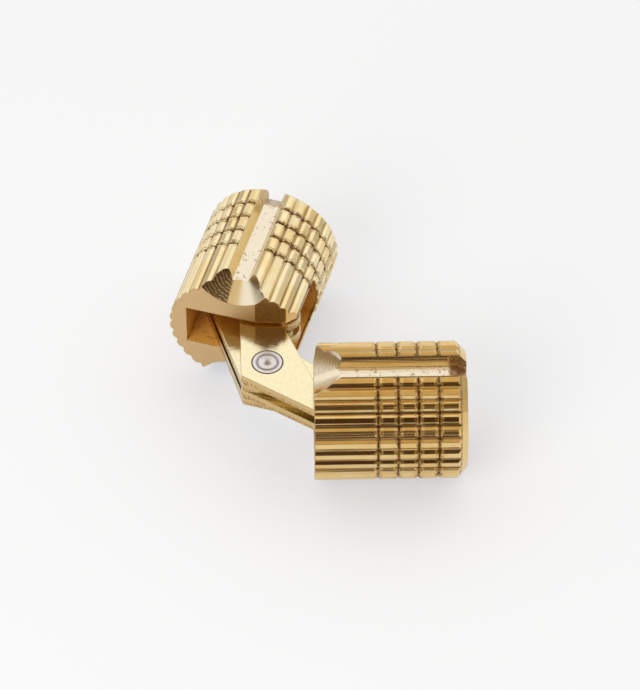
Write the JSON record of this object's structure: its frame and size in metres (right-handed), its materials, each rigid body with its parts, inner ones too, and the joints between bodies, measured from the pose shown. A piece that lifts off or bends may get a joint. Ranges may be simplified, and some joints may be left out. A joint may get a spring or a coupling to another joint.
{
  "type": "invisible barrel hinge",
  "caption": "Brass invisible barrel hinge: fluted plugs with screw grooves and milled pockets, joined by crossing link plates on a steel rivet.",
  "frame": {"origin": "centre of the right barrel's front face", "axes": "+X along the right barrel towards its back, +Y towards its inner side, +Z along the rivet"},
  "size_m": [0.0302, 0.0346, 0.0136],
  "materials": {
    "barrel_brass": "bare bright brass, drawn fluted bar, turned and milled",
    "link_brass": "bare stamped brass sheet, tumbled satin",
    "pin_steel": "bright steel, turned ends"
  },
  "bodies": {
    "right_barrel": {"right_barrel": "barrel_brass", "right_pivot_pin": "pin_steel"},
    "b_links": {"link_b_upper": "link_brass", "link_b_lower": "link_brass"},
    "a_links": {"link_a_upper": "link_brass", "link_a_lower": "link_brass", "centre_rivet": "pin_steel"},
    "left_barrel": {"left_barrel": "barrel_brass", "left_pivot_pin": "pin_steel"}
  },
  "joints": [
    {"name": "right_pivot", "type": "hinge", "parent": "right_barrel", "child": "b_links", "pos_m": [0.0024, 0.00503, 0], "axis": [0, 0, -1], "range_deg": [-69.15, 46.75]},
    {"name": "centre_pivot", "type": "hinge", "parent": "b_links", "child": "a_links", "pos_m": [-0.00466, 0.00502, 0], "axis": [0, 0, -1], "range_deg": [-21, 31]},
    {"name": "left_pivot", "type": "hinge", "parent": "a_links", "child": "left_barrel", "pos_m": [-0.00254, 0.01175, 0], "axis": [0, 0, -1], "range_deg": [-69.1, 46.7]}
  ],
  "couplings": [
    {"joint": "right_pivot", "follows": "left_pivot", "ratio": 1},
    {"joint": "centre_pivot", "follows": "left_pivot", "ratio": -0.44721}
  ]
}
